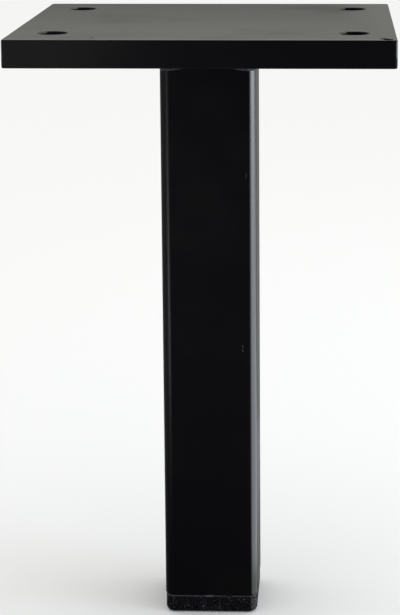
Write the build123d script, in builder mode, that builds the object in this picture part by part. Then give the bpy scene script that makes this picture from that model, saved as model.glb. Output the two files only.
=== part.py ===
from build123d import *
import os

# A square steel furniture leg: a mounting plate, a tube welded under it and a
# moulded end cap pressed into the tube's lower end.
# Millimetres. The origin is on the floor, under the middle of the leg.
# X runs along the plate's long side, Y from its front edge to its back, Z up.

# Whole leg
leg_height = 160.0

# Mounting plate
plate_width = 96.0
plate_depth = 90.0
plate_thickness = 7.0
plate_corner_radius = 1.0
plate_edge_radius = 0.4

# Four screw holes in the plate, their centres measured from the plate's sides
hole_diameter = 7.5
hole_inset_x = 10.5
hole_inset_y = 15.0
hole_edge_break = 0.3

# Small dent in the plate's top by its front right corner, its middle measured from
# the plate's sides
dent_diameter = 2.5
dent_depth = 0.5
dent_inset_x = 2.2
dent_inset_y = 1.75

# Square tube
tube_size = 25.0
tube_wall = 1.5
tube_corner_radius = 2.5
tube_end_break = 0.3

# Fillet weld round the tube: its leg along the plate, its leg down the tube, and
# the rise of its face
weld_width = 4.0
weld_height = 4.8
weld_crown = 0.35

# End cap: the head that shows, and the finned insert inside the tube
cap_head_height = 5.0
cap_head_step = 0.15
cap_bottom_radius = 1.5
cap_top_radius = 0.3
insert_length = 15.0
insert_wall = 1.5
insert_hollow_radius = 0.5
insert_core_depth = 2.5
insert_lead_in_height = 0.8
insert_lead_in_width = 0.4
fin_count = 3
fin_spacing = 4.0
fin_first_height = 2.5
fin_reach = 0.9
fin_thickness = 0.9
fin_tip_thickness = 0.5
fin_droop = 0.5
fin_clearance = 0.1

# Heights and widths that follow from the sizes above
plate_bottom = leg_height - plate_thickness
tube_bottom = cap_head_height
tube_half = tube_size / 2
bore_size = tube_size - 2 * tube_wall
hollow_half = bore_size / 2 - fin_clearance - fin_reach - insert_wall

os.makedirs("parts", exist_ok=True)

# Mounting plate, drilled, with broken edges
with BuildPart() as mounting_plate:
    with BuildSketch(Plane.XY.offset(plate_bottom)):
        RectangleRounded(plate_width, plate_depth, plate_corner_radius)
    extrude(amount=plate_thickness)
    fillet(mounting_plate.faces().filter_by(Axis.Z).edges(), plate_edge_radius)

    hole_spacing_x = plate_width - 2 * hole_inset_x
    hole_spacing_y = plate_depth - 2 * hole_inset_y
    with Locations((0, 0, leg_height)):
        with GridLocations(hole_spacing_x, hole_spacing_y, 2, 2):
            Hole(hole_diameter / 2)
    hole_rims = mounting_plate.edges(Select.LAST).filter_by(GeomType.CIRCLE)
    chamfer(hole_rims, hole_edge_break)

    # The dent is the print of a ball, pressed in to its depth
    ball_radius = ((dent_diameter / 2) ** 2 + dent_depth**2) / (2 * dent_depth)
    with Locations(
        (
            plate_width / 2 - dent_inset_x,
            dent_inset_y - plate_depth / 2,
            leg_height - dent_depth + ball_radius,
        )
    ):
        Sphere(ball_radius, mode=Mode.SUBTRACT)
mounting_plate.part.label = "mounting_plate"

# Square tube, from the cap's head up to the plate's underside
with BuildPart() as leg_tube:
    with BuildSketch(Plane.XY.offset(tube_bottom)):
        RectangleRounded(tube_size, tube_size, tube_corner_radius)
        RectangleRounded(
            bore_size, bore_size, tube_corner_radius - tube_wall, mode=Mode.SUBTRACT
        )
    extrude(amount=plate_bottom - tube_bottom)
    lower_end = leg_tube.faces().sort_by(Axis.Z)[0]
    chamfer(lower_end.outer_wire().edges(), tube_end_break)
leg_tube.part.label = "leg_tube"

# Fillet weld: its section is swept round half the tube's outline, then mirrored
with BuildPart() as weld_bead:
    with BuildLine(Plane.XY.offset(plate_bottom)):
        FilletPolyline(
            (tube_half, 0),
            (tube_half, tube_half),
            (-tube_half, tube_half),
            (-tube_half, 0),
            radius=tube_corner_radius,
        )
    with BuildSketch(Plane.XZ.shift_origin((tube_half, 0, plate_bottom))):
        with BuildLine():
            Polyline((0, -weld_height), (0, 0), (weld_width, 0))
            SagittaArc((weld_width, 0), (0, -weld_height), weld_crown)
        make_face()
    sweep()
    mirror(about=Plane.XZ)
weld_bead.part.label = "weld_bead"

# End cap: a head with the tube's outline and rounded lower edges
with BuildPart() as end_cap:
    head_size = tube_size - 2 * cap_head_step
    with BuildSketch():
        RectangleRounded(head_size, head_size, tube_corner_radius - cap_head_step)
    extrude(amount=cap_head_height)
    head_ends = end_cap.faces().filter_by(Axis.Z).sort_by(Axis.Z)
    fillet(head_ends[0].edges(), cap_bottom_radius)
    fillet(head_ends[-1].edges(), cap_top_radius)

    # The insert is hollow, and its hollow is cored down into the head
    insert_bottom = cap_head_height - insert_core_depth
    insert_top = cap_head_height + insert_length
    with BuildSketch(Plane.XY.offset(insert_bottom)):
        RectangleRounded(2 * hollow_half, 2 * hollow_half, insert_hollow_radius)
    extrude(amount=insert_core_depth, mode=Mode.SUBTRACT)

    # Its wall and drooping fins are one section, swept round the hollow
    with BuildLine(Plane.XY.offset(insert_bottom)):
        FilletPolyline(
            (hollow_half, 0),
            (hollow_half, hollow_half),
            (-hollow_half, hollow_half),
            (-hollow_half, 0),
            radius=insert_hollow_radius,
        )
    with BuildSketch(Plane.XZ.shift_origin((hollow_half, 0, insert_bottom))):
        wall_height = insert_top - insert_bottom
        with BuildLine():
            Polyline(
                (0, 0),
                (insert_wall, 0),
                (insert_wall, wall_height - insert_lead_in_height),
                (insert_wall - insert_lead_in_width, wall_height),
                (0, wall_height),
                close=True,
            )
        make_face()
        for fin in range(fin_count):
            fin_root = insert_core_depth + fin_first_height + fin * fin_spacing
            fin_tip = fin_root - fin_droop
            with BuildLine():
                Polyline(
                    (0, fin_root - fin_thickness / 2),
                    (insert_wall, fin_root - fin_thickness / 2),
                    (insert_wall + fin_reach, fin_tip - fin_tip_thickness / 2),
                    (insert_wall + fin_reach, fin_tip + fin_tip_thickness / 2),
                    (insert_wall, fin_root + fin_thickness / 2),
                    (0, fin_root + fin_thickness / 2),
                    close=True,
                )
            make_face()
    sweep()
    mirror(about=Plane.XZ)
end_cap.part.label = "end_cap"

export_step(mounting_plate.part, "parts/mounting_plate.step")
export_step(leg_tube.part, "parts/leg_tube.step")
export_step(weld_bead.part, "parts/weld_bead.step")
export_step(end_cap.part, "parts/end_cap.step")
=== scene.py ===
import functools
import math

import bmesh
import bpy
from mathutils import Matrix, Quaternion, Vector


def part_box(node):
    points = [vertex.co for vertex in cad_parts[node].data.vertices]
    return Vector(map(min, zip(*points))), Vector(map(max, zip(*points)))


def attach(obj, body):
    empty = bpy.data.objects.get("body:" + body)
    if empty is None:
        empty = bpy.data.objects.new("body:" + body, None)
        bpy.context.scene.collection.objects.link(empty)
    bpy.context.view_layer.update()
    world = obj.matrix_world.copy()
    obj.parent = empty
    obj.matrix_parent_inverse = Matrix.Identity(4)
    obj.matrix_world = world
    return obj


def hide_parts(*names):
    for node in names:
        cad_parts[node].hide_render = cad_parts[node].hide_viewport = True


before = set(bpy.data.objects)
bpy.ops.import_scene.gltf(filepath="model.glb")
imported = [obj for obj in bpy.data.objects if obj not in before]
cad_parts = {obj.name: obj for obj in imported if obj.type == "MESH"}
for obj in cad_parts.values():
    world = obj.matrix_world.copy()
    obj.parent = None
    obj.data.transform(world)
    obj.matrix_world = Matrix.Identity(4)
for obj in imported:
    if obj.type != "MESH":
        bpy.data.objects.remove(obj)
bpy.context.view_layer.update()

bl_info = {
    "name": "Furniture Leg Finisher",
    "version": (1, 0, 0),
    "blender": (4, 5, 0),
    "location": "3D View > Sidebar > Furniture Leg",
    "description": "Dresses a square steel furniture leg and sets it on a studio floor",
    "category": "Object",
}

MM = 0.001
BODY = "root"
PHOTO_WIDTH = 400
PHOTO_HEIGHT = 615

PLATE_LOW, PLATE_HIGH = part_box("mounting_plate")
TUBE_LOW, TUBE_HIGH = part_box("leg_tube")
WELD_LOW, WELD_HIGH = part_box("weld_bead")
CAP_LOW, CAP_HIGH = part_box("end_cap")
CAP_HEAD = TUBE_LOW.z

# Hurts in the coat of the plate's top, which are a pit, a dent and a scrape: each one's
# distance from the right end, from the front edge and down from the top, and its radius
PLATE_HURTS = (
    (74.3 * MM, 4.0 * MM, 0.0, 0.45 * MM),
    (2.2 * MM, 1.75 * MM, 0.3 * MM, 1.0 * MM),
    (3.2 * MM, 3.1 * MM, 0.0, 0.9 * MM),
)

# Scuffs in the front of the tube: each one's place right of the middle, its height over
# the floor, half its length, and how strongly it shows
TUBE_SCUFFS = (
    (8.82 * MM, 74.85 * MM, 0.5 * MM, 1.0),
    (8.82 * MM, 73.75 * MM, 0.5 * MM, 1.0),
    (9.95 * MM, 120.8 * MM, 0.7 * MM, 0.65),
)


class Value:
    """A number carried by a node's socket. Arithmetic on it adds Math nodes to its tree."""

    def __init__(self, maker, socket):
        self.maker = maker
        self.socket = socket

    def _math(self, operation, *operands):
        numbered = dict(enumerate(operands))
        return self.maker.value("ShaderNodeMath", {"operation": operation}, numbered)

    def __add__(self, other):
        return self._math("ADD", self, other)

    __radd__ = __add__

    def __sub__(self, other):
        return self._math("SUBTRACT", self, other)

    def __rsub__(self, other):
        return self._math("SUBTRACT", other, self)

    def __mul__(self, other):
        return self._math("MULTIPLY", self, other)

    __rmul__ = __mul__

    def __truediv__(self, other):
        return self._math("DIVIDE", self, other)

    def __pow__(self, other):
        return self._math("POWER", self, other)

    def __lt__(self, other):
        return self._math("LESS_THAN", self, other)

    def __abs__(self):
        return self._math("ABSOLUTE", self)

    def larger(self, other):
        return self._math("MAXIMUM", self, other)

    def smaller(self, other):
        return self._math("MINIMUM", self, other)

    def sine(self):
        return self._math("SINE", self)

    def root(self):
        return self._math("SQRT", self)

    def band(self, start, end):
        """Goes smoothly from 0 at start to 1 at end."""
        settings = {"interpolation_type": "SMOOTHSTEP"}
        sockets = {"Value": self, "From Min": start, "From Max": end}
        return self.maker.value("ShaderNodeMapRange", settings, sockets, "Result")

    def between(self, first, last):
        """The number that lies this share of the way from first to last."""
        return self * (last - first) + first


class NodeMaker:
    """Fills a node tree through a few short methods."""

    def __init__(self, tree):
        self.tree = tree
        tree.nodes.clear()

    def node(self, kind, settings, sockets):
        """Adds a node: its settings are set first, then its sockets are set or linked."""
        made = self.tree.nodes.new(kind)
        for name, setting in settings.items():
            setattr(made, name, setting)
        for name, given in sockets.items():
            if isinstance(given, Value):
                given = given.socket
            if isinstance(given, bpy.types.NodeSocket):
                self.tree.links.new(given, made.inputs[name])
            else:
                made.inputs[name].default_value = given
        return made

    def value(self, kind, settings, sockets, output=0):
        return Value(self, self.node(kind, settings, sockets).outputs[output])

    def apart(self, vector):
        """The three numbers of a vector."""
        node = self.node("ShaderNodeSeparateXYZ", {}, {"Vector": vector})
        return [Value(self, node.outputs[axis]) for axis in "XYZ"]

    def together(self, *numbers):
        sockets = dict(zip("XYZ", numbers))
        return self.node("ShaderNodeCombineXYZ", {}, sockets).outputs["Vector"]

    def noise(self, place, size, detail=2.0):
        """Cloudy noise from 0 to 1 whose lumps are about size metres across."""
        sockets = {"Vector": place, "Scale": 1.0 / size, "Detail": detail}
        return self.value("ShaderNodeTexNoise", {}, sockets, "Fac")


class Finish(NodeMaker):
    """The node tree of a material or of the world."""

    def __init__(self, owner):
        owner.use_nodes = True
        self.owner = owner
        super().__init__(owner.node_tree)

    def position(self):
        """The place on the object, in metres, and its three numbers."""
        place = self.node("ShaderNodeTexCoord", {}, {}).outputs["Object"]
        return place, self.apart(place)

    def mix(self, share, first, second):
        """A colour that goes from first to second with share."""
        settings = {"data_type": "RGBA"}
        sockets = {"Factor": share, 6: first, 7: second}
        return self.node("ShaderNodeMix", settings, sockets).outputs[2]

    def bump(self, height):
        sockets = {"Height": height, "Distance": 1.0, "Strength": 1.0}
        return self.node("ShaderNodeBump", {}, sockets).outputs["Normal"]

    def finish_with(self, shader, target="ShaderNodeOutputMaterial"):
        self.node(target, {}, {"Surface": shader.outputs[0]})


class Shape(NodeMaker):
    """A geometry tree with named inputs, which makes one plain mesh."""

    def __init__(self, name):
        super().__init__(bpy.data.node_groups.new(name, "GeometryNodeTree"))
        self.way_in = self.node("NodeGroupInput", {}, {})
        self.given = {}
        self._socket("Geometry", "OUTPUT", "NodeSocketGeometry")

    def _socket(self, name, side, kind):
        return self.tree.interface.new_socket(name=name, in_out=side, socket_type=kind)

    def size(self, name, given, kind="NodeSocketFloat"):
        """A named input of the tree, and what it is given."""
        self.given[self._socket(name, "INPUT", kind).identifier] = given
        return Value(self, self.way_in.outputs[name])

    def make(self, name, geometry, material):
        coat = self.size("Material", material, "NodeSocketMaterial")
        real = self.node("GeometryNodeRealizeInstances", {}, {"Geometry": geometry}).outputs[0]
        sockets = {"Geometry": real, "Material": coat}
        coated = self.node("GeometryNodeSetMaterial", {}, sockets).outputs[0]
        self.node("NodeGroupOutput", {}, {"Geometry": coated})
        piece = bpy.data.objects.new(name, bpy.data.meshes.new(name))
        bpy.context.scene.collection.objects.link(piece)
        modifier = piece.modifiers.new(name, "NODES")
        modifier.node_group = self.tree
        for identifier, given in self.given.items():
            modifier[identifier] = given
        depsgraph = bpy.context.evaluated_depsgraph_get()
        evaluated = piece.evaluated_get(depsgraph)
        mesh = bpy.data.meshes.new_from_object(evaluated, depsgraph=depsgraph)
        piece.modifiers.remove(modifier)

        # The grid node leaves an empty slot before the material
        mesh.materials.clear()
        mesh.materials.append(material)
        piece.data = mesh
        return piece


def grey(level):
    return (level, level, level, 1.0)


def near(axes, centre, radius):
    """1 within radius metres of centre, and 0 from one and a half radii out."""
    terms = [(axis - middle) * (axis - middle) for axis, middle in zip(axes, centre)]
    distance = (terms[0] + terms[1] + terms[2]).root()
    return 1 - distance.band(radius, radius * 1.5)


def on_corner(axes, high, radius, onset=0.24):
    """1 on most of the upright rounded corners of a part centred on the leg.

    onset is how far round from the front or back it starts, as a share of the radius."""
    across, back, _ = axes
    fade = 0.24 * radius
    start = onset * radius
    past_front = (abs(across) - (high.x - radius)).band(start, start + fade)
    past_side = (abs(back) - (high.y - radius)).band(0.2 * radius, 0.4 * radius)
    return past_front * past_side


def scuff(axes, across, height, half_length, strength):
    """strength on a short, narrow, upright scuff in the front of the tube, and 0 off it."""
    half_core, half_width, tip, front_depth = 0.05 * MM, 0.25 * MM, 0.3 * MM, 0.5 * MM
    beside = abs(axes[0] - across).band(half_core, half_width)
    past_end = abs(axes[2] - height).band(half_length - tip, half_length)
    on_front = axes[1] < TUBE_LOW.y + front_depth
    return (1 - beside) * (1 - past_end) * on_front * strength


class FURNITURELEG_PG_coat(bpy.types.PropertyGroup):
    """The satin black coat on the steel."""

    colour: bpy.props.FloatVectorProperty(
        name="Colour",
        description="Colour of the coat",
        subtype="COLOR",
        size=4,
        min=0.0,
        max=1.0,
        default=(0.0014, 0.0014, 0.0021, 1.0),
    )
    dust_colour: bpy.props.FloatVectorProperty(
        name="Dust Colour",
        description="Colour of the thin dust that dulls the coat",
        subtype="COLOR",
        size=4,
        min=0.0,
        max=1.0,
        default=(0.004, 0.004, 0.0037, 1.0),
    )
    # Colour painted on as sheen on the plate's top and left end, and as a highlight in the
    # holes
    painted_light_colour: bpy.props.FloatVectorProperty(
        name="Film Colour",
        description="Colour of the dust that lies on the plate",
        subtype="COLOR",
        size=4,
        min=0.0,
        max=1.0,
        default=(0.25, 0.25, 0.225, 1.0),
    )
    # How strongly that sheen is painted on the plate's top
    painted_sheen: bpy.props.FloatProperty(
        name="Film",
        description="Share of the plate's top that this dust hides where it is thick",
        min=0.0,
        max=1.0,
        default=0.3,
    )
    # How strongly a highlight is painted on the left of each hole's wall
    hole_highlight: bpy.props.FloatProperty(
        name="Hole Film",
        description="Share of the left of each hole's wall that it hides",
        min=0.0,
        max=1.0,
        default=0.42,
    )
    roughness: bpy.props.FloatProperty(
        name="Roughness",
        description="Roughness of the coat where it is clean",
        min=0.0,
        max=1.0,
        default=0.38,
    )
    specular: bpy.props.FloatProperty(
        name="Specular",
        description="Specular level of the coat",
        min=0.0,
        max=1.0,
        default=0.028,
    )
    corner_gloss: bpy.props.FloatProperty(
        name="Corner Gloss",
        description="Share of the glossy skin where the coat runs thick round a corner",
        min=0.0,
        max=1.0,
        default=0.9,
    )
    weld_gloss: bpy.props.FloatProperty(
        name="Weld Gloss",
        description="Share of that skin on the weld",
        min=0.0,
        max=1.0,
        default=0.24,
    )
    left_gloss: bpy.props.FloatProperty(
        name="Left Gloss",
        description="Share of that skin that the tube's left corners carry",
        min=0.0,
        max=1.0,
        default=0.068,
    )
    gloss_ior: bpy.props.FloatProperty(
        name="Gloss IOR",
        description="Refractive index of that glossy skin",
        min=1.0,
        max=3.0,
        default=1.9,
    )
    gloss_roughness: bpy.props.FloatProperty(
        name="Gloss Roughness",
        description="Roughness of that glossy skin",
        min=0.0,
        max=1.0,
        default=0.28,
    )
    cloud_size: bpy.props.FloatProperty(
        name="Cloud Size",
        description="Width of the clouds that the thin dust lies in",
        subtype="DISTANCE",
        unit="LENGTH",
        default=22 * MM,
    )
    cloud_share: bpy.props.FloatProperty(
        name="Cloud Share",
        description="Share of the coat that the dust hides in the middle of a cloud",
        min=0.0,
        max=1.0,
        default=0.5,
    )
    peel_size: bpy.props.FloatProperty(
        name="Peel Size",
        description="Width of the coat's orange peel waves",
        subtype="DISTANCE",
        unit="LENGTH",
        default=1.1 * MM,
    )
    peel_height: bpy.props.FloatProperty(
        name="Peel Height",
        description="Height of the coat's orange peel waves",
        subtype="DISTANCE",
        unit="LENGTH",
        default=0.006 * MM,
    )
    grain_size: bpy.props.FloatProperty(
        name="Grain Size",
        description="Width of the coat's fine grain",
        subtype="DISTANCE",
        unit="LENGTH",
        default=0.22 * MM,
    )
    grain_height: bpy.props.FloatProperty(
        name="Grain Height",
        description="Height of the coat's fine grain",
        subtype="DISTANCE",
        unit="LENGTH",
        default=0.0015 * MM,
    )
    plate_corner_radius: bpy.props.FloatProperty(
        name="Plate Corner Radius",
        description="Radius of the mounting plate's upright corners",
        subtype="DISTANCE",
        unit="LENGTH",
        default=1.0 * MM,
    )
    tube_corner_radius: bpy.props.FloatProperty(
        name="Tube Corner Radius",
        description="Outer radius of the tube's upright corners",
        subtype="DISTANCE",
        unit="LENGTH",
        default=2.5 * MM,
    )
    hole_radius: bpy.props.FloatProperty(
        name="Hole Radius",
        description="Radius of the plate's screw holes",
        subtype="DISTANCE",
        unit="LENGTH",
        default=3.75 * MM,
    )
    hole_inset_x: bpy.props.FloatProperty(
        name="Hole Inset X",
        description="Distance of a hole's middle from the plate's left or right end",
        subtype="DISTANCE",
        unit="LENGTH",
        default=10.5 * MM,
    )
    hole_inset_y: bpy.props.FloatProperty(
        name="Hole Inset Y",
        description="Distance of a hole's middle from the plate's front or back",
        subtype="DISTANCE",
        unit="LENGTH",
        default=15.0 * MM,
    )


class FURNITURELEG_PG_weld(bpy.types.PropertyGroup):
    """The fillet weld round the tube."""

    leg_out: bpy.props.FloatProperty(
        name="Leg on Plate",
        description="How far the bead reaches out along the plate",
        subtype="DISTANCE",
        unit="LENGTH",
        default=WELD_HIGH.x - TUBE_HIGH.x,
    )
    leg_down: bpy.props.FloatProperty(
        name="Leg on Tube",
        description="How far the bead reaches down the tube",
        subtype="DISTANCE",
        unit="LENGTH",
        default=WELD_HIGH.z - WELD_LOW.z,
    )
    crown: bpy.props.FloatProperty(
        name="Crown",
        description="Rise of the middle of the bead's face",
        subtype="DISTANCE",
        unit="LENGTH",
        default=1.1 * MM,
    )
    toe_wash: bpy.props.FloatProperty(
        name="Toe Wash",
        description="How smoothly the face runs out into the steel, where 1 is not at all",
        min=1.0,
        max=3.0,
        default=1.5,
    )
    ripple_pitch: bpy.props.FloatProperty(
        name="Ripple Pitch",
        description="Distance from one ripple of the bead to the next",
        subtype="DISTANCE",
        unit="LENGTH",
        default=1.5 * MM,
    )
    ripple_depth: bpy.props.FloatProperty(
        name="Ripple Depth",
        description="How far the bead's face falls back between two ripples",
        subtype="DISTANCE",
        unit="LENGTH",
        default=0.2 * MM,
    )
    ripple_bow: bpy.props.FloatProperty(
        name="Ripple Bow",
        description="How far a ripple's middle runs ahead of its ends, in ripples",
        default=0.6,
    )
    wander: bpy.props.FloatProperty(
        name="Wander",
        description="How far the bead's edges stray as it goes round",
        subtype="DISTANCE",
        unit="LENGTH",
        default=0.3 * MM,
    )
    corner_build: bpy.props.FloatProperty(
        name="Corner Build",
        description="How much further the bead reaches down where it turns a corner",
        subtype="DISTANCE",
        unit="LENGTH",
        default=0.75 * MM,
    )
    steps_per_ripple: bpy.props.IntProperty(
        name="Steps per Ripple",
        description="Mesh steps along each ripple",
        min=4,
        max=16,
        default=8,
    )
    steps_across: bpy.props.IntProperty(
        name="Steps Across",
        description="Mesh steps across the bead's face",
        min=4,
        max=24,
        default=12,
    )


class FURNITURELEG_PG_cap(bpy.types.PropertyGroup):
    """The moulded plastic end cap."""

    colour: bpy.props.FloatVectorProperty(
        name="Colour",
        description="Colour of the plastic",
        subtype="COLOR",
        size=4,
        min=0.0,
        max=1.0,
        default=(0.0011, 0.0010, 0.0018, 1.0),
    )
    speck_colour: bpy.props.FloatVectorProperty(
        name="Speck Colour",
        description="Colour of the rubbed tops of the moulded grain",
        subtype="COLOR",
        size=4,
        min=0.0,
        max=1.0,
        default=(0.054, 0.052, 0.066, 1.0),
    )
    roughness: bpy.props.FloatProperty(
        name="Roughness",
        description="Roughness of the plastic where it isn't scuffed",
        min=0.0,
        max=1.0,
        default=0.42,
    )
    specular: bpy.props.FloatProperty(
        name="Specular",
        description="Specular level of the plastic",
        min=0.0,
        max=1.0,
        default=0.035,
    )
    gloss_ior: bpy.props.FloatProperty(
        name="Gloss IOR",
        description="Refractive index of the plastic where it is polished by wear",
        min=1.0,
        max=3.0,
        default=1.9,
    )
    gloss_roughness: bpy.props.FloatProperty(
        name="Gloss Roughness",
        description="Roughness of the plastic where it is polished by wear",
        min=0.0,
        max=1.0,
        default=0.3,
    )
    corner_radius: bpy.props.FloatProperty(
        name="Corner Radius",
        description="Radius of the cap's upright corners",
        subtype="DISTANCE",
        unit="LENGTH",
        default=2.35 * MM,
    )
    pebble_size: bpy.props.FloatProperty(
        name="Pebble Size",
        description="Width of the pebbles of the moulded grain",
        subtype="DISTANCE",
        unit="LENGTH",
        default=0.55 * MM,
    )
    pebble_height: bpy.props.FloatProperty(
        name="Pebble Height",
        description="Height of the pebbles of the moulded grain",
        subtype="DISTANCE",
        unit="LENGTH",
        default=0.07 * MM,
    )


class FURNITURELEG_PG_stage(bpy.types.PropertyGroup):
    """The studio floor, lamps and camera."""

    floor_colour: bpy.props.FloatVectorProperty(
        name="Floor Colour",
        description="Colour of the floor",
        subtype="COLOR",
        size=4,
        min=0.0,
        max=1.0,
        default=(0.92, 0.92, 0.918, 1.0),
    )
    floor_radius: bpy.props.FloatProperty(
        name="Floor Radius",
        description="Radius of the round floor",
        subtype="DISTANCE",
        unit="LENGTH",
        default=6.0,
    )
    front_colour: bpy.props.FloatVectorProperty(
        name="Front Colour",
        description="Colour of the room in front of the leg",
        subtype="COLOR",
        size=4,
        min=0.0,
        max=1.0,
        default=(0.7, 0.7, 0.7, 1.0),
    )
    back_colour: bpy.props.FloatVectorProperty(
        name="Back Colour",
        description="Colour of the room behind the leg",
        subtype="COLOR",
        size=4,
        min=0.0,
        max=1.0,
        default=(0.90, 0.91, 0.85, 1.0),
    )
    top_power: bpy.props.FloatProperty(
        name="Top Power",
        description="Power of the soft box overhead",
        subtype="POWER",
        unit="POWER",
        default=10.5,
    )
    key_power: bpy.props.FloatProperty(
        name="Key Power",
        description="Power of the soft box on the right",
        subtype="POWER",
        unit="POWER",
        default=3.1,
    )
    table_power: bpy.props.FloatProperty(
        name="Table Power",
        description="Power of the light table on the floor at the right",
        subtype="POWER",
        unit="POWER",
        default=1.15,
    )
    strip_power: bpy.props.FloatProperty(
        name="Strip Power",
        description="Power of the light strip on the floor at the front left",
        subtype="POWER",
        unit="POWER",
        default=2.0,
    )
    left_power: bpy.props.FloatProperty(
        name="Left Power",
        description="Power of the high soft box on the left",
        subtype="POWER",
        unit="POWER",
        default=1.0,
    )
    camera_place: bpy.props.FloatVectorProperty(
        name="Camera Place",
        description="Where the camera stands",
        subtype="TRANSLATION",
        unit="LENGTH",
        size=3,
        default=(32.55 * MM, -516.63 * MM, 214.89 * MM),
    )
    camera_aim: bpy.props.FloatVectorProperty(
        name="Camera Aim",
        description="The point that the lens's axis meets",
        subtype="TRANSLATION",
        unit="LENGTH",
        size=3,
        default=(14.17 * MM, -15.34 * MM, 122.83 * MM),
    )
    camera_roll: bpy.props.FloatProperty(
        name="Camera Roll",
        description="How far the camera leans about its lens's axis",
        subtype="ANGLE",
        unit="ROTATION",
        default=math.radians(-0.17),
    )
    focal_pixels: bpy.props.FloatProperty(
        name="Focal Length in Pixels",
        description="Focal length, in pixels of the photograph's frame",
        default=1972.0,
    )
    axis_x: bpy.props.FloatProperty(
        name="Axis Column",
        description="Column of the frame that the lens's axis meets",
        default=262.0,
    )
    axis_y: bpy.props.FloatProperty(
        name="Axis Row",
        description="Row of the frame, from the top, that the lens's axis meets",
        default=170.0,
    )


def dress_coat(material_name, coat, marks):
    """The coat: black, thinly dusted, with orange peel. marks adds a piece's own."""
    finish = Finish(bpy.data.materials.new(material_name))
    place, axes = finish.position()
    clouds = finish.noise(place, coat.cloud_size, detail=4.0)
    dust = clouds.band(0.45, 0.8) * coat.cloud_share
    peel = finish.noise(place, coat.peel_size)
    grain = finish.noise(place, coat.grain_size)
    dust_dulls, grain_dulls = 0.12, 0.06
    roughness = coat.roughness + dust * dust_dulls + (grain - 0.5) * grain_dulls
    height = peel * coat.peel_height + grain * coat.grain_height
    sockets = {
        "Base Color": finish.mix(dust, coat.colour, coat.dust_colour),
        "Roughness": roughness,
        "Normal": finish.bump(height),
        "Specular IOR Level": coat.specular,
        "Coat Roughness": coat.gloss_roughness,
        "Coat IOR": coat.gloss_ior,
    }
    sockets.update(marks(finish, coat, place, axes, sockets["Base Color"], roughness))
    finish.finish_with(finish.node("ShaderNodeBsdfPrincipled", {}, sockets))
    return finish.owner


def plate_hurt(axes):
    """1 on the hurts in the plate's top."""
    hurts = []
    for from_right, from_front, depth, radius in PLATE_HURTS:
        centre = (PLATE_HIGH.x - from_right, PLATE_LOW.y + from_front, PLATE_HIGH.z - depth)
        hurts.append(near(axes, centre, radius))
    return functools.reduce(Value.larger, hurts)


def sheen_on_top(axes):
    """How strongly sheen is painted on the plate's top: more by the front edge and the right
    end.
    """
    across, back, up = axes
    low, high = PLATE_LOW, PLATE_HIGH
    at_back, at_front, at_right, front_edge_extra = 0.25, 0.9, 0.9, 0.7
    forwards = (1 - back.band(low.y, high.y)).between(at_back, at_front)
    rightwards = across.band(high.x - 26 * MM, high.x) * at_right
    front_edge = (1 - back.band(low.y + 0.8 * MM, low.y + 3 * MM)) * front_edge_extra
    on_top = up.band(high.z - 0.07 * MM, high.z - 0.02 * MM)
    return on_top * (forwards.larger(rightwards) + front_edge)


def lit_hole_walls(axes, coat):
    """1 on the upper left of each hole's wall and broken rim, where a highlight is painted."""
    across, back, up = axes
    hole_x = PLATE_HIGH.x - coat.hole_inset_x
    hole_y = PLATE_HIGH.y - coat.hole_inset_y
    from_hole = across - hole_x + (across < 0) * (2 * hole_x)
    behind_hole = abs(back) - hole_y
    from_axis = (from_hole * from_hole + behind_hole * behind_hole).root()
    wall = 1 - from_axis.band(coat.hole_radius + 0.3 * MM, coat.hole_radius + 0.4 * MM)
    left = 1 - from_hole.band(-2.0 * MM, -1.5 * MM)
    upper = up.band(PLATE_HIGH.z - 0.5 * MM, PLATE_HIGH.z - 0.4 * MM)
    return wall * left * upper


def plate_marks(finish, coat, place, axes, colour, roughness):
    """Glossy corners, painted sheen on the top and at the left end, a painted highlight on the
    left of each hole's wall, and three dull hurts in the coat.
    """
    hurt = plate_hurt(axes)
    # Painted sheen on the plate's top, kept off the hurts
    painted_sheen = sheen_on_top(axes) * coat.painted_sheen * (1 - hurt)
    # A painted highlight on the left of each hole's wall
    hole_highlight_mask = lit_hole_walls(axes, coat) * coat.hole_highlight

    # A thin painted sheen fades from the left end along the sides
    left_sheen_length, left_sheen_share = 55 * MM, 0.018
    left_end_sheen = (1 - axes[0].band(PLATE_LOW.x, PLATE_LOW.x + left_sheen_length)) * left_sheen_share

    # The glossy skin on the corners thins towards the plate's underside
    thin, thick = 0.12, 0.95
    upper = axes[2].band(PLATE_LOW.z + 1.9 * MM, PLATE_LOW.z + 3.4 * MM)
    corner = on_corner(axes, PLATE_HIGH, coat.plate_corner_radius, onset=0.6)
    skin = corner * upper.between(thin, thick)
    # The base colour is lightened towards the painted light colour by the painted sheen and
    # the painted hole highlight
    return {
        "Base Color": finish.mix(painted_sheen.larger(hole_highlight_mask).larger(left_end_sheen), colour, coat.painted_light_colour),
        "Roughness": roughness.larger(hurt),
        "Coat Weight": skin * coat.corner_gloss,
    }


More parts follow.
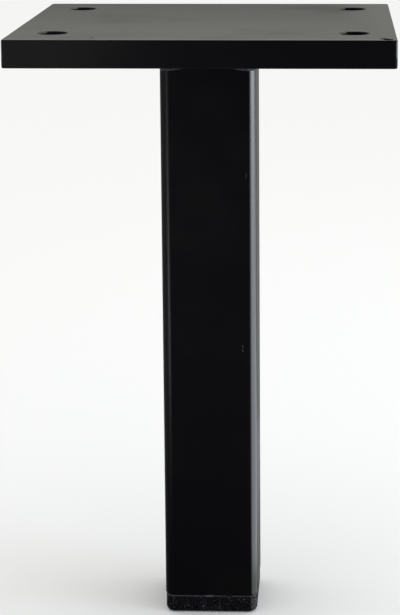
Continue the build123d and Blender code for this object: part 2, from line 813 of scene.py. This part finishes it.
def tube_marks(finish, coat, place, axes, colour, roughness):
    """Glossy corners, small scuffs, and chips along the lower rim, where bare steel shows."""
    across, _, up = axes
    rubbed_coat, bare_steel = grey(0.025), grey(0.16)
    chip_size = 1.6 * MM
    scuffs = sum(scuff(axes, *given) for given in TUBE_SCUFFS)
    rim = 1 - up.band(TUBE_LOW.z + 0.1 * MM, TUBE_LOW.z + 0.6 * MM)
    chips = finish.noise(place, chip_size, detail=3.0).band(0.68, 0.75) * rim

    # The skin is thinner on the left corners, and fades out there towards the foot
    radius = coat.tube_corner_radius
    right = across.band(-1 * MM, 1 * MM)
    above_foot = up.band(15 * MM, 80 * MM)
    right_skin = right * on_corner(axes, TUBE_HIGH, radius, onset=0.28)
    left_skin = (1 - right) * on_corner(axes, TUBE_HIGH, radius, onset=0.0)
    skin = right_skin + left_skin * above_foot * coat.left_gloss
    return {
        "Base Color": finish.mix(chips, finish.mix(scuffs, colour, rubbed_coat), bare_steel),
        "Metallic": chips * 0.9,
        "Coat Weight": skin * coat.corner_gloss,
    }


def weld_marks(finish, coat, place, axes, colour, roughness):
    """A glossy skin all over the bead, where the coat runs thick."""
    return {"Coat Weight": coat.weld_gloss}


class FURNITURELEG_OT_plate(bpy.types.Operator):
    """Coat the mounting plate"""

    bl_idname = "furniture_leg.plate"
    bl_label = "Coat Mounting Plate"

    def execute(self, context):
        coat = context.scene.leg_coat
        material = dress_coat("plate satin coat", coat, plate_marks)
        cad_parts["mounting_plate"].material_slots[0].material = material
        return {"FINISHED"}


class FURNITURELEG_OT_tube(bpy.types.Operator):
    """Coat the square tube"""

    bl_idname = "furniture_leg.tube"
    bl_label = "Coat Tube"

    def execute(self, context):
        coat = context.scene.leg_coat
        material = dress_coat("tube satin coat", coat, tube_marks)
        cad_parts["leg_tube"].material_slots[0].material = material
        return {"FINISHED"}


class FURNITURELEG_OT_cap(bpy.types.Operator):
    """Give the end cap its pebbled plastic"""

    bl_idname = "furniture_leg.cap"
    bl_label = "Finish End Cap"

    def execute(self, context):
        cap = context.scene.leg_cap
        finish = Finish(bpy.data.materials.new("pebbled cap plastic"))
        place, axes = finish.position()
        across, _, up = axes
        cells = {"Vector": place, "Scale": 1.0 / cap.pebble_size, "Smoothness": 0.7}
        pebbles = finish.value(
            "ShaderNodeTexVoronoi", {"feature": "SMOOTH_F1"}, cells, "Distance"
        )
        grain = finish.noise(place, cap.pebble_size * 0.4)
        height = (1 - pebbles) * cap.pebble_height + grain * (cap.pebble_height * 0.4)
        scuffs = finish.noise(place, 3.0 * MM, detail=5.0).band(0.45, 0.7)
        specks = finish.noise(place, cap.pebble_size * 0.75, detail=0.0).band(0.5, 0.62)

        # The rim is rubbed glossy, most of all near the middle of the front, where a glint is
        # also painted into its colour
        painted_glint = near(axes, (-0.5 * MM, CAP_LOW.y, CAP_HEAD - 0.2 * MM), 0.8 * MM)
        rim = up.band(CAP_HEAD - 0.5 * MM, CAP_HEAD - 0.25 * MM)
        rubbed = rim * scuffs.between(1.0, 0.2).larger(painted_glint)
        pale = (specks * scuffs.between(0.15, 0.85)).larger(rim * painted_glint)

        # The right corners are polished, most of all on the specks
        right = across.band(-1 * MM, 1 * MM)
        corner = on_corner(axes, CAP_HIGH, cap.corner_radius) * right
        polished = corner * specks.between(0.25, 0.85)
        sockets = {
            "Base Color": finish.mix(pale, cap.colour, cap.speck_colour),
            "Roughness": cap.roughness + scuffs * 0.15 + grain * 0.1,
            "Normal": finish.bump(height),
            "Specular IOR Level": cap.specular,
            "Coat Weight": polished.larger(rubbed * 0.4),
            "Coat Roughness": cap.gloss_roughness,
            "Coat IOR": cap.gloss_ior,
        }
        finish.finish_with(finish.node("ShaderNodeBsdfPrincipled", {}, sockets))
        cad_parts["end_cap"].material_slots[0].material = finish.owner
        return {"FINISHED"}


def make_bead(weld, corner_radius, material):
    """A rippled bead, laid round the tube on a grid that is closed both ways."""
    corner_steps = 8
    stray_length = 9 * MM
    out_stray, down_stray = 2, 0.4
    out_notch, down_notch = 0.5, 0.4
    merge_distance = 0.002 * MM
    tube_half = TUBE_HIGH.x
    length = 8 * (tube_half - corner_radius) + 2 * math.pi * corner_radius
    ripples = round(length / weld.ripple_pitch)
    shape = Shape("weld bead")
    corner = shape.size("Corner Radius", corner_radius)
    leg_out = shape.size("Leg on Plate", weld.leg_out)
    leg_down = shape.size("Leg on Tube", weld.leg_down)
    crown = shape.size("Crown", weld.crown)
    wash = shape.size("Toe Wash", weld.toe_wash)
    count = shape.size("Ripples", float(ripples))
    depth = shape.size("Ripple Depth", weld.ripple_depth)
    bow = shape.size("Ripple Bow", weld.ripple_bow)
    wander = shape.size("Wander", weld.wander)
    build = shape.size("Corner Build", weld.corner_build)
    top = shape.size("Plate Underside", PLATE_LOW.z)

    # Round the tube at a share of its outline, with the way outward from it
    across = weld.steps_across
    rows = across + 3
    steps = {
        "Size X": 1.0,
        "Size Y": 1.0,
        "Vertices X": ripples * weld.steps_per_ripple + 1,
        "Vertices Y": rows,
    }
    grid = shape.node("GeometryNodeMeshGrid", {}, steps).outputs["Mesh"]
    flat = shape.apart(shape.node("GeometryNodeInputPosition", {}, {}).outputs[0])
    round_share = 0.5 - flat[0]
    sides = {"Width": 2 * tube_half, "Height": 2 * tube_half}
    square = shape.node("GeometryNodeCurvePrimitiveQuadrilateral", {}, sides).outputs[0]
    bend = {"Curve": square, "Count": corner_steps, "Radius": corner}
    outline = shape.node("GeometryNodeFilletCurve", {"mode": "POLY"}, bend).outputs[0]
    sample = {"Curves": outline, "Factor": round_share}
    place = shape.node("GeometryNodeSampleCurve", {"mode": "FACTOR"}, sample)
    spot = place.outputs["Position"]
    spot_x, spot_y, _ = shape.apart(spot)
    ahead_x, ahead_y, _ = shape.apart(place.outputs["Tangent"])

    # Rows 0 to across lie on the face, the next at the root, and the last closes it
    row = (flat[1] + 0.5) * (rows - 1)
    down_face = (row / across) * (row < across + 1.5)
    off_root = 1 - (row < across + 1.5) * (1 - (row < across + 0.5))
    bulge = down_face * (1 - down_face) * 4

    # The edges stray, reach lower round the corners and are notched by the ripples
    turn = (round_share * count + bulge * bow) * math.pi
    valley = 1 - abs(turn.sine())
    stray = (shape.noise(spot, stray_length) - 0.5) * wander
    near_corner = abs(spot_x).smaller(abs(spot_y)).band(0.35 * tube_half, 0.85 * tube_half)
    along_side = 1 - near_corner
    out_toe = leg_out + stray * out_stray - valley * depth * out_notch
    down_toe = (
        leg_down + stray * down_stray - along_side * build - valley * depth * down_notch
    )
    rise = crown * bulge * bulge - valley * depth * bulge
    slope = (out_toe * out_toe + down_toe * down_toe).root()
    out = (out_toe * (1 - down_face) ** wash + rise * down_toe / slope) * off_root
    down = (down_toe * down_face**wash + rise * out_toe / slope) * off_root

    settled = shape.together(spot_x + ahead_y * out, spot_y - ahead_x * out, top - down)
    bent = shape.node("GeometryNodeSetPosition", {}, {"Geometry": grid, "Position": settled})
    merge = {"Geometry": bent.outputs[0], "Distance": merge_distance}
    closed = shape.node("GeometryNodeMergeByDistance", {}, merge).outputs[0]
    smooth = shape.node("GeometryNodeSetShadeSmooth", {}, {"Geometry": closed}).outputs[0]
    return shape.make("weld_bead_rippled", smooth, material)


class FURNITURELEG_OT_weld(bpy.types.Operator):
    """Lay the rippled weld bead round the tube"""

    bl_idname = "furniture_leg.weld"
    bl_label = "Lay Weld Bead"

    def execute(self, context):
        coat = context.scene.leg_coat
        material = dress_coat("weld satin coat", coat, weld_marks)
        bead = make_bead(context.scene.leg_weld, coat.tube_corner_radius, material)
        bead.data.set_sharp_from_angle(angle=math.radians(50))
        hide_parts("weld_bead")
        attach(bead, BODY)
        return {"FINISHED"}


def make_floor(stage):
    """A wide, round, pale floor."""
    mesh = bpy.data.meshes.new("floor")
    disc = bmesh.new()
    bmesh.ops.create_circle(
        disc, cap_ends=True, cap_tris=False, radius=stage.floor_radius, segments=96
    )
    disc.to_mesh(mesh)
    disc.free()
    floor = bpy.data.objects.new("floor", mesh)
    bpy.context.scene.collection.objects.link(floor)
    finish = Finish(bpy.data.materials.new("studio floor"))
    paint = {"Color": stage.floor_colour}
    finish.finish_with(finish.node("ShaderNodeBsdfDiffuse", {}, paint))
    mesh.materials.append(finish.owner)


def make_world(stage):
    """A pale grey room: lighter behind the leg than in front of it."""
    world = bpy.data.worlds.new("studio")
    bpy.context.scene.world = world
    finish = Finish(world)
    direction = finish.node("ShaderNodeTexCoord", {}, {}).outputs["Generated"]
    _, backward, _ = finish.apart(direction)
    behind = backward.band(-0.2, 0.9)
    room = finish.mix(behind, stage.front_colour, stage.back_colour)
    background = finish.node("ShaderNodeBackground", {}, {"Color": room, "Strength": 1.0})
    finish.finish_with(background, "ShaderNodeOutputWorld")


def soft_box(name, power, colour, size, place, aim, spread=180, turn=0):
    """A soft box, size metres wide and high, at place and facing aim.

    spread is the angle of its grid, and turn its lean about the way it faces, both in
    degrees. The camera doesn't see it."""
    lamp = bpy.data.lights.new(name, "AREA")
    lamp.shape = "RECTANGLE"
    lamp.size, lamp.size_y = size
    lamp.energy = power
    lamp.color = colour
    lamp.spread = math.radians(spread)
    lamp_object = bpy.data.objects.new(name, lamp)
    bpy.context.scene.collection.objects.link(lamp_object)
    lamp_object.location = place
    way = Vector(aim) - Vector(place)
    turned = Quaternion((0, 0, 1), math.radians(turn))
    lamp_object.rotation_euler = (way.to_track_quat("-Z", "Y") @ turned).to_euler()
    lamp_object.visible_camera = False


def make_lamps(stage):
    """Three soft boxes, and two low lamps that the upright corners reflect."""
    white = (1.0, 1.0, 1.0)
    cool = (0.82, 0.9, 1.0)
    soft_box(
        "top soft box",
        stage.top_power,
        white,
        size=(2.8, 4.4),
        place=(0, 1.5, 1.5),
        aim=(0, 1.5, 0),
        spread=140,
    )
    soft_box(
        "key soft box",
        stage.key_power,
        cool,
        size=(0.65, 0.35),
        place=(0.7, -0.125, 0.2),
        aim=(0, 0, 0.1),
    )
    soft_box(
        "light table",
        stage.table_power,
        cool,
        size=(0.785, 0.5),
        place=(0.427, -0.1, 0.003),
        aim=(0.427, -0.1, 1),
    )
    soft_box(
        "light strip",
        stage.strip_power,
        white,
        size=(0.12, 0.45),
        place=(-0.24, -0.4, 0.003),
        aim=(-0.24, -0.4, 1),
        turn=32,
    )
    soft_box(
        "left soft box",
        stage.left_power,
        white,
        size=(0.9, 0.9),
        place=(-1.2, 0.3, 1.1),
        aim=(-0.1, 0.3, 0),
    )


def make_camera(stage):
    """A camera at the photograph's viewing angle, framed as the photograph is cropped."""
    lens = bpy.data.cameras.new("camera")
    lens.sensor_fit = "AUTO"
    lens.lens = stage.focal_pixels / PHOTO_HEIGHT * lens.sensor_width
    lens.shift_x = (PHOTO_WIDTH / 2 - stage.axis_x) / PHOTO_HEIGHT
    lens.shift_y = (stage.axis_y - PHOTO_HEIGHT / 2) / PHOTO_HEIGHT
    camera = bpy.data.objects.new("camera", lens)
    bpy.context.scene.collection.objects.link(camera)
    place = Vector(stage.camera_place)
    look = Vector(stage.camera_aim) - place
    lean = Quaternion((0, 0, 1), stage.camera_roll)
    camera.location = place
    camera.rotation_euler = (look.to_track_quat("-Z", "Y") @ lean).to_euler()
    bpy.context.scene.camera = camera


class FURNITURELEG_OT_stage(bpy.types.Operator):
    """Set up the floor, world, lamps and camera"""

    bl_idname = "furniture_leg.stage"
    bl_label = "Set Up Studio"

    def execute(self, context):
        stage = context.scene.leg_stage
        make_floor(stage)
        make_world(stage)
        make_lamps(stage)
        make_camera(stage)
        context.scene.view_settings.view_transform = "Standard"
        return {"FINISHED"}


GROUPS = {
    "leg_coat": FURNITURELEG_PG_coat,
    "leg_weld": FURNITURELEG_PG_weld,
    "leg_cap": FURNITURELEG_PG_cap,
    "leg_stage": FURNITURELEG_PG_stage,
}
OPERATORS = (
    FURNITURELEG_OT_plate,
    FURNITURELEG_OT_tube,
    FURNITURELEG_OT_weld,
    FURNITURELEG_OT_cap,
    FURNITURELEG_OT_stage,
)


class FURNITURELEG_PT_panel(bpy.types.Panel):
    """Settings and steps of the furniture leg"""

    bl_label = "Furniture Leg"
    bl_idname = "FURNITURELEG_PT_panel"
    bl_space_type = "VIEW_3D"
    bl_region_type = "UI"
    bl_category = "Furniture Leg"

    def draw(self, context):
        for name, group in GROUPS.items():
            box = self.layout.box()
            for setting in group.__annotations__:
                box.prop(getattr(context.scene, name), setting)
        for operator in OPERATORS:
            self.layout.operator(operator.bl_idname)


def register():
    for group in GROUPS.values():
        bpy.utils.register_class(group)
    for name, group in GROUPS.items():
        setattr(bpy.types.Scene, name, bpy.props.PointerProperty(type=group))
    for operator in OPERATORS:
        bpy.utils.register_class(operator)
    bpy.utils.register_class(FURNITURELEG_PT_panel)


def unregister():
    bpy.utils.unregister_class(FURNITURELEG_PT_panel)
    for operator in reversed(OPERATORS):
        bpy.utils.unregister_class(operator)
    for name, group in reversed(GROUPS.items()):
        delattr(bpy.types.Scene, name)
        bpy.utils.unregister_class(group)


def main():
    register()
    bpy.ops.furniture_leg.plate()
    bpy.ops.furniture_leg.tube()
    bpy.ops.furniture_leg.weld()
    bpy.ops.furniture_leg.cap()
    bpy.ops.furniture_leg.stage()


if __name__ == "__main__":
    main()
